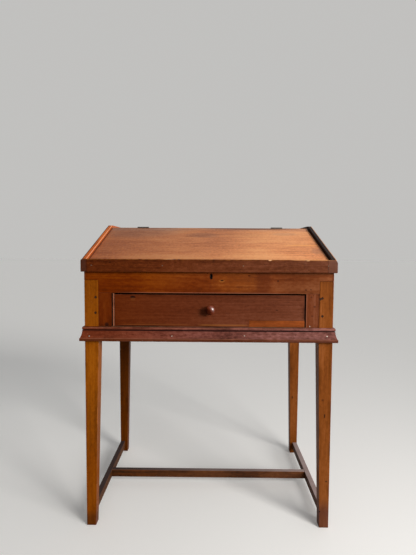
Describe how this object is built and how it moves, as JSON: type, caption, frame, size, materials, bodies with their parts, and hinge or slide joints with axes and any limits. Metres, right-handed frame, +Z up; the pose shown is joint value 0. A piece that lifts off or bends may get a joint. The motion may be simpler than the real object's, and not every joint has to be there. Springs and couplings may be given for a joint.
{
  "type": "schoolmaster's desk",
  "caption": "Slant-lid schoolmaster's desk: hinged lipped lid over a writing well, level shelf behind, flush drawer with turned knob, waist moulding, tapered legs and an H stretcher.",
  "frame": {"origin": "on the floor, at the middle of the desk's overall footprint, which runs from the knob's face to the top board's back edge", "axes": "+Z up, -Y to the front where the writer stands or sits, +X to the writer's right"},
  "size_m": [0.947, 0.675, 1.1585],
  "materials": {
    "leg_wood": "old yellow-brown varnish, worn at the feet",
    "stretcher_wood": "dark worn varnish",
    "side_wood": "old red-brown varnish",
    "back_wood": "thin old varnish",
    "inside_wood": "bare aged wood",
    "rail_wood": "old red-brown varnish",
    "moulding_wood": "worn red-brown varnish",
    "top_wood": "orange-brown varnish",
    "end_lip_wood": "old red-brown varnish, worn on top",
    "lid_wood": "orange-brown varnish, rubbed by use",
    "front_lip_wood": "dark red-brown varnish, chipped along the top",
    "drawer_front_wood": "dark red-brown varnish",
    "patch_wood": "lighter repair, varnished",
    "slip_wood": "pale slip, rubbed",
    "drawer_box_wood": "bare aged wood",
    "knob_wood": "dark varnish, polished by hands",
    "hinge_iron": "dull browned iron",
    "lock_iron": "dull browned iron",
    "bolt_brass": "tarnished brass"
  },
  "bodies": {
    "case": {"leg_front_left": "leg_wood", "leg_front_right": "leg_wood", "leg_rear_left": "leg_wood", "leg_rear_right": "leg_wood", "side_stretcher_left": "stretcher_wood", "side_stretcher_right": "stretcher_wood", "cross_stretcher": "stretcher_wood", "side_board_left": "side_wood", "side_board_right": "side_wood", "back_board": "back_wood", "well_floor": "inside_wood", "well_cleat_left": "inside_wood", "well_cleat_right": "inside_wood", "front_rail": "rail_wood", "front_stile_left": "rail_wood", "front_stile_right": "rail_wood", "lower_rail": "inside_wood", "moulding_front": "moulding_wood", "moulding_left": "moulding_wood", "moulding_right": "moulding_wood", "top_board": "top_wood", "top_lip_left": "end_lip_wood", "top_lip_right": "end_lip_wood", "hinge_top_leaf_left": "hinge_iron", "hinge_top_leaf_right": "hinge_iron", "hinge_pin_left": "hinge_iron", "hinge_pin_right": "hinge_iron", "drawer_runner_left": "inside_wood", "drawer_runner_right": "inside_wood", "drawer_guide_left": "inside_wood", "drawer_guide_right": "inside_wood", "drawer_stop_left": "inside_wood", "drawer_stop_right": "inside_wood", "lock_case": "lock_iron"},
    "lid": {"lid_board": "lid_wood", "lid_front_lip": "front_lip_wood", "lid_lip_left": "end_lip_wood", "lid_lip_right": "end_lip_wood", "hinge_lid_leaf_left": "hinge_iron", "hinge_lid_leaf_right": "hinge_iron", "lock_link_plate": "lock_iron"},
    "drawer": {"drawer_front": "drawer_front_wood", "drawer_front_patch": "patch_wood", "drawer_front_slip": "slip_wood", "drawer_side_left": "drawer_box_wood", "drawer_side_right": "drawer_box_wood", "drawer_back": "drawer_box_wood", "drawer_bottom": "drawer_box_wood", "drawer_knob": "knob_wood"},
    "lock_bolt": {"lock_bolt": "bolt_brass"}
  },
  "joints": [
    {"name": "lid_hinge", "type": "hinge", "parent": "case", "child": "lid", "pos_m": [0, 0.1045, 1.148], "axis": [-1, 0, 0], "range_deg": [0, 125]},
    {"name": "drawer_slide", "type": "slide", "parent": "case", "child": "drawer", "axis": [0, -1, 0], "range_m": [0, 0.38]},
    {"name": "lock_bolt_slide", "type": "slide", "parent": "case", "child": "lock_bolt", "axis": [1, 0, 0], "range_m": [0, 0.008]}
  ]
}
